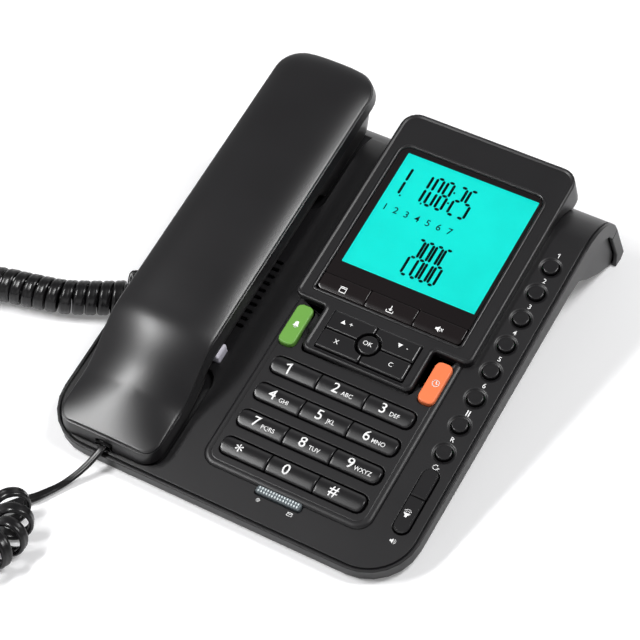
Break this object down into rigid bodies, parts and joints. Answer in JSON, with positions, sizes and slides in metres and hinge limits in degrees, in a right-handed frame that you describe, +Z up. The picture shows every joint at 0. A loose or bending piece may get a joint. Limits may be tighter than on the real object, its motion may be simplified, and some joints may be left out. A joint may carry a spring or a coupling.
{
  "type": "corded telephone",
  "caption": "Corded desk telephone with a sloping base, a handset in its cradle, a display under a window, a keypad, round memory keys and a curly handset cord.",
  "frame": {"origin": "on the surface that the telephone stands on, at the middle of its footprint, the cord left out", "axes": "+Z up, +Y from the front edge towards the rear stand, +X to the right of a user"},
  "size_m": [0.2875, 0.3177, 0.0757],
  "materials": {
    "black_housing": "moulded ABS, fine spark texture, satin",
    "black_keys": "moulded ABS, smooth satin",
    "gloss_trim": "polished acrylic strip",
    "green_key": "moulded ABS, satin",
    "orange_key": "moulded ABS, satin",
    "clear_window": "clear polished acrylic",
    "lcd": "backlit liquid crystal panel",
    "white_plastic": "moulded acetal",
    "clear_plastic": "clear polycarbonate",
    "circuit_board": "solder mask",
    "rubber": "moulded silicone rubber",
    "capsule": "transducer can",
    "steel": "zinc plated",
    "cord": "extruded PVC jacket"
  },
  "bodies": {
    "base": {"upper_housing": "black_housing", "lower_housing": "black_housing", "rear_stand": "black_housing", "foot_front_left": "rubber", "foot_front_right": "rubber", "foot_rear_left": "rubber", "foot_rear_right": "rubber", "display_fascia": "black_housing", "display_window": "clear_window", "lcd_panel": "lcd", "main_board": "circuit_board", "keypad_mat": "rubber", "loudspeaker": "capsule", "indicator_lens": "clear_plastic", "line_jack": "black_keys", "handset_jack": "black_keys", "base_screw": "steel", "base_plug": "clear_plastic", "curly_cord": "cord", "base_cord_tail": "cord", "handset_cord_tail": "cord"},
    "handset": {"handset_outer_shell": "black_housing", "handset_inner_shell": "black_housing", "earpiece_capsule": "capsule", "microphone_capsule": "capsule", "handset_screw": "steel", "handset_plug": "clear_plastic"},
    "hook_plunger": {"hook_plunger": "white_plastic"},
    "dial_key_star": {"dial_key_star": "black_keys"},
    "dial_key_0": {"dial_key_0": "black_keys"},
    "dial_key_hash": {"dial_key_hash": "black_keys"},
    "dial_key_7": {"dial_key_7": "black_keys"},
    "dial_key_8": {"dial_key_8": "black_keys"},
    "dial_key_9": {"dial_key_9": "black_keys"},
    "dial_key_4": {"dial_key_4": "black_keys"},
    "dial_key_5": {"dial_key_5": "black_keys"},
    "dial_key_6": {"dial_key_6": "black_keys"},
    "dial_key_1": {"dial_key_1": "black_keys"},
    "dial_key_2": {"dial_key_2": "black_keys"},
    "dial_key_3": {"dial_key_3": "black_keys"},
    "soft_key_left": {"soft_key_left": "gloss_trim"},
    "soft_key_middle": {"soft_key_middle": "gloss_trim"},
    "soft_key_right": {"soft_key_right": "gloss_trim"},
    "nav_key_out": {"nav_key_out": "black_keys"},
    "nav_key_delete": {"nav_key_delete": "black_keys"},
    "nav_key_up": {"nav_key_up": "black_keys"},
    "nav_key_down": {"nav_key_down": "black_keys"},
    "nav_key_centre": {"nav_key_centre": "black_keys"},
    "green_key": {"green_key": "green_key"},
    "orange_key": {"orange_key": "orange_key"},
    "oval_key_upper": {"oval_key_upper": "black_keys"},
    "oval_key_lower": {"oval_key_lower": "black_keys"},
    "round_key_1": {"round_key_1": "black_keys"},
    "round_key_2": {"round_key_2": "black_keys"},
    "round_key_3": {"round_key_3": "black_keys"},
    "round_key_4": {"round_key_4": "black_keys"},
    "round_key_5": {"round_key_5": "black_keys"},
    "round_key_6": {"round_key_6": "black_keys"},
    "round_key_7": {"round_key_7": "black_keys"},
    "round_key_8": {"round_key_8": "black_keys"}
  },
  "joints": [
    {"name": "handset_lift", "type": "slide", "parent": "base", "child": "handset", "axis": [0, -0.2224, 0.975], "range_m": [0, 0.06]},
    {"name": "hook_plunger_rise", "type": "slide", "parent": "base", "child": "hook_plunger", "axis": [0, -0.2224, 0.975], "range_m": [0, 0.003]},
    {"name": "dial_key_star_press", "type": "slide", "parent": "base", "child": "dial_key_star", "axis": [0, 0.2224, -0.975], "range_m": [0, 0.001], "stiffness_N_per_m": 300, "springref_m": -0.0002},
    {"name": "dial_key_0_press", "type": "slide", "parent": "base", "child": "dial_key_0", "axis": [0, 0.2224, -0.975], "range_m": [0, 0.001], "stiffness_N_per_m": 300, "springref_m": -0.0002},
    {"name": "dial_key_hash_press", "type": "slide", "parent": "base", "child": "dial_key_hash", "axis": [0, 0.2224, -0.975], "range_m": [0, 0.001], "stiffness_N_per_m": 300, "springref_m": -0.0002},
    {"name": "dial_key_7_press", "type": "slide", "parent": "base", "child": "dial_key_7", "axis": [0, 0.2224, -0.975], "range_m": [0, 0.001], "stiffness_N_per_m": 300, "springref_m": -0.0002},
    {"name": "dial_key_8_press", "type": "slide", "parent": "base", "child": "dial_key_8", "axis": [0, 0.2224, -0.975], "range_m": [0, 0.001], "stiffness_N_per_m": 300, "springref_m": -0.0002},
    {"name": "dial_key_9_press", "type": "slide", "parent": "base", "child": "dial_key_9", "axis": [0, 0.2224, -0.975], "range_m": [0, 0.001], "stiffness_N_per_m": 300, "springref_m": -0.0002},
    {"name": "dial_key_4_press", "type": "slide", "parent": "base", "child": "dial_key_4", "axis": [0, 0.2224, -0.975], "range_m": [0, 0.001], "stiffness_N_per_m": 300, "springref_m": -0.0002},
    {"name": "dial_key_5_press", "type": "slide", "parent": "base", "child": "dial_key_5", "axis": [0, 0.2224, -0.975], "range_m": [0, 0.001], "stiffness_N_per_m": 300, "springref_m": -0.0002},
    {"name": "dial_key_6_press", "type": "slide", "parent": "base", "child": "dial_key_6", "axis": [0, 0.2224, -0.975], "range_m": [0, 0.001], "stiffness_N_per_m": 300, "springref_m": -0.0002},
    {"name": "dial_key_1_press", "type": "slide", "parent": "base", "child": "dial_key_1", "axis": [0, 0.2224, -0.975], "range_m": [0, 0.001], "stiffness_N_per_m": 300, "springref_m": -0.0002},
    {"name": "dial_key_2_press", "type": "slide", "parent": "base", "child": "dial_key_2", "axis": [0, 0.2224, -0.975], "range_m": [0, 0.001], "stiffness_N_per_m": 300, "springref_m": -0.0002},
    {"name": "dial_key_3_press", "type": "slide", "parent": "base", "child": "dial_key_3", "axis": [0, 0.2224, -0.975], "range_m": [0, 0.001], "stiffness_N_per_m": 300, "springref_m": -0.0002},
    {"name": "soft_key_left_press", "type": "slide", "parent": "base", "child": "soft_key_left", "axis": [0, 0.2224, -0.975], "range_m": [0, 0.001], "stiffness_N_per_m": 300, "springref_m": -0.0002},
    {"name": "soft_key_middle_press", "type": "slide", "parent": "base", "child": "soft_key_middle", "axis": [0, 0.2224, -0.975], "range_m": [0, 0.001], "stiffness_N_per_m": 300, "springref_m": -0.0002},
    {"name": "soft_key_right_press", "type": "slide", "parent": "base", "child": "soft_key_right", "axis": [0, 0.2224, -0.975], "range_m": [0, 0.001], "stiffness_N_per_m": 300, "springref_m": -0.0002},
    {"name": "nav_key_out_press", "type": "slide", "parent": "base", "child": "nav_key_out", "axis": [0, 0.2224, -0.975], "range_m": [0, 0.001], "stiffness_N_per_m": 300, "springref_m": -0.0002},
    {"name": "nav_key_delete_press", "type": "slide", "parent": "base", "child": "nav_key_delete", "axis": [0, 0.2224, -0.975], "range_m": [0, 0.001], "stiffness_N_per_m": 300, "springref_m": -0.0002},
    {"name": "nav_key_up_press", "type": "slide", "parent": "base", "child": "nav_key_up", "axis": [0, 0.2224, -0.975], "range_m": [0, 0.001], "stiffness_N_per_m": 300, "springref_m": -0.0002},
    {"name": "nav_key_down_press", "type": "slide", "parent": "base", "child": "nav_key_down", "axis": [0, 0.2224, -0.975], "range_m": [0, 0.001], "stiffness_N_per_m": 300, "springref_m": -0.0002},
    {"name": "nav_key_centre_press", "type": "slide", "parent": "base", "child": "nav_key_centre", "axis": [0, 0.2224, -0.975], "range_m": [0, 0.001], "stiffness_N_per_m": 300, "springref_m": -0.0002},
    {"name": "green_key_press", "type": "slide", "parent": "base", "child": "green_key", "axis": [0, 0.2224, -0.975], "range_m": [0, 0.001], "stiffness_N_per_m": 300, "springref_m": -0.0002},
    {"name": "orange_key_press", "type": "slide", "parent": "base", "child": "orange_key", "axis": [0, 0.2224, -0.975], "range_m": [0, 0.001], "stiffness_N_per_m": 300, "springref_m": -0.0002},
    {"name": "oval_key_upper_press", "type": "slide", "parent": "base", "child": "oval_key_upper", "axis": [0, 0.2224, -0.975], "range_m": [0, 0.001], "stiffness_N_per_m": 300, "springref_m": -0.0002},
    {"name": "oval_key_lower_press", "type": "slide", "parent": "base", "child": "oval_key_lower", "axis": [0, 0.2224, -0.975], "range_m": [0, 0.001], "stiffness_N_per_m": 300, "springref_m": -0.0002},
    {"name": "round_key_1_press", "type": "slide", "parent": "base", "child": "round_key_1", "axis": [0, 0.2224, -0.975], "range_m": [0, 0.0008], "stiffness_N_per_m": 300, "springref_m": -0.0002},
    {"name": "round_key_2_press", "type": "slide", "parent": "base", "child": "round_key_2", "axis": [0, 0.2224, -0.975], "range_m": [0, 0.0008], "stiffness_N_per_m": 300, "springref_m": -0.0002},
    {"name": "round_key_3_press", "type": "slide", "parent": "base", "child": "round_key_3", "axis": [0, 0.2224, -0.975], "range_m": [0, 0.0008], "stiffness_N_per_m": 300, "springref_m": -0.0002},
    {"name": "round_key_4_press", "type": "slide", "parent": "base", "child": "round_key_4", "axis": [0, 0.2224, -0.975], "range_m": [0, 0.0008], "stiffness_N_per_m": 300, "springref_m": -0.0002},
    {"name": "round_key_5_press", "type": "slide", "parent": "base", "child": "round_key_5", "axis": [0, 0.2224, -0.975], "range_m": [0, 0.0008], "stiffness_N_per_m": 300, "springref_m": -0.0002},
    {"name": "round_key_6_press", "type": "slide", "parent": "base", "child": "round_key_6", "axis": [0, 0.2224, -0.975], "range_m": [0, 0.0008], "stiffness_N_per_m": 300, "springref_m": -0.0002},
    {"name": "round_key_7_press", "type": "slide", "parent": "base", "child": "round_key_7", "axis": [0, 0.2224, -0.975], "range_m": [0, 0.0008], "stiffness_N_per_m": 300, "springref_m": -0.0002},
    {"name": "round_key_8_press", "type": "slide", "parent": "base", "child": "round_key_8", "axis": [0, 0.2224, -0.975], "range_m": [0, 0.0008], "stiffness_N_per_m": 300, "springref_m": -0.0002}
  ],
  "couplings": [
    {"joint": "hook_plunger_rise", "follows": "handset_lift", "ratio": 0.05}
  ]
}
